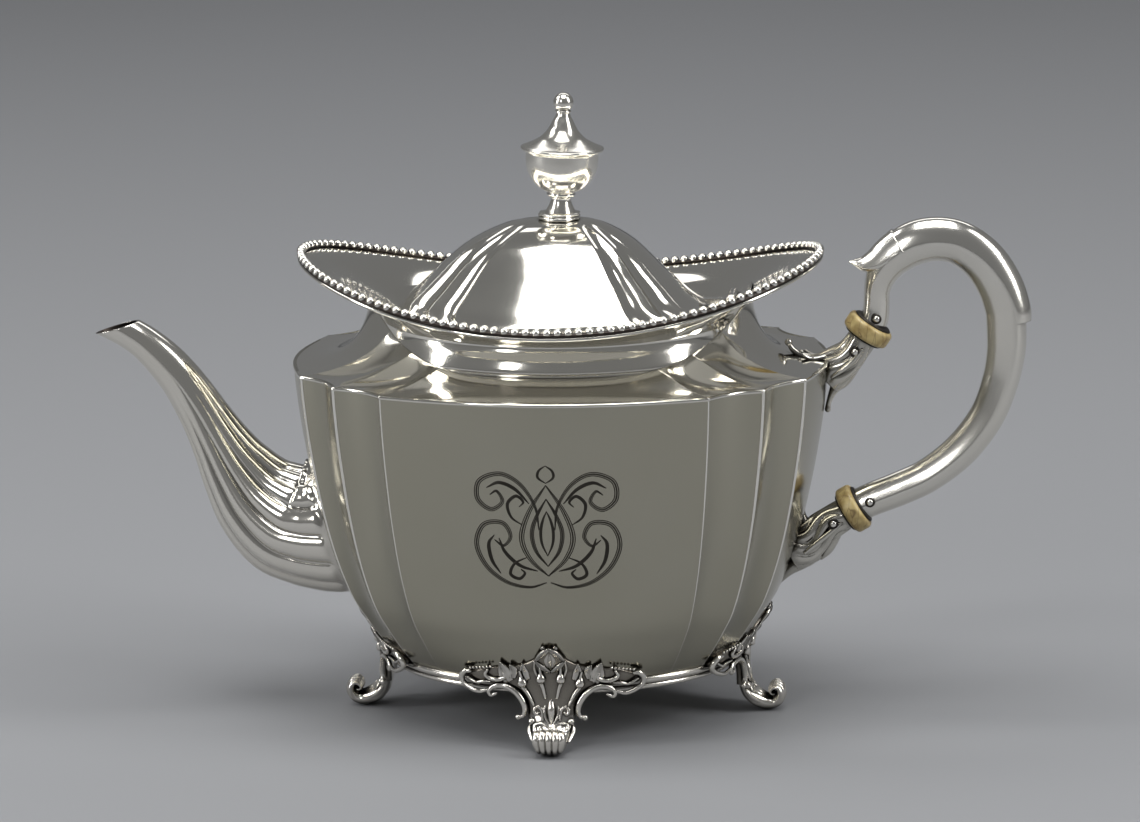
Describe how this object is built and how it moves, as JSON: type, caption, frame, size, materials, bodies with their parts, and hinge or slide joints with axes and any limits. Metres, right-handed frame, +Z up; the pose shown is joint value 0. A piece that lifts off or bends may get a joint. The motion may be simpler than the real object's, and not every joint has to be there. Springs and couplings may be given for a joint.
{
  "type": "teapot",
  "caption": "Oval footed silver teapot with fluted body, beaded saddle rim, hinged domed lid with urn finial, S-shaped spout and insulated scroll handle.",
  "frame": {"origin": "point on the table under the lid's finial, at the centre of the bounding box's bottom face", "axes": "+X towards the handle, -X towards the spout, +Y towards the back, +Z up"},
  "size_m": [0.2947, 0.14, 0.1976],
  "materials": {
    "bright_silver": null,
    "satin_silver": "softly worn, slightly satin sterling silver",
    "dark_silver": "cast silver with dark patina left in its recesses",
    "bone": "aged yellowed bone with brown hairline cracks"
  },
  "bodies": {
    "pot": {"body_bowl": "satin_silver", "base_plate": "satin_silver", "base_band": "dark_silver", "foot_front": "dark_silver", "foot_back": "dark_silver", "foot_spout_side": "dark_silver", "foot_handle_side": "dark_silver", "shoulder": "bright_silver", "neck_moulding": "bright_silver", "gallery": "bright_silver", "rim_beading": "dark_silver", "spout": "bright_silver", "handle_scroll": "bright_silver", "upper_socket": "dark_silver", "lower_socket": "dark_silver", "upper_insulator": "bone", "lower_insulator": "bone", "upper_handle_pin": "bright_silver", "upper_socket_pin": "bright_silver", "lower_handle_pin": "bright_silver", "lower_socket_pin": "bright_silver", "body_hinge_leaf": "bright_silver", "hinge_pin": "bright_silver"},
    "lid": {"lid_dome": "bright_silver", "lid_bezel": "bright_silver", "lid_hinge_leaf": "bright_silver", "finial": "bright_silver", "finial_washer": "bright_silver", "finial_nut": "bright_silver"}
  },
  "joints": [
    {"name": "lid_hinge", "type": "hinge", "parent": "pot", "child": "lid", "pos_m": [0.0539, 0, 0.1332], "axis": [0, 1, 0], "range_deg": [0, 90]}
  ]
}
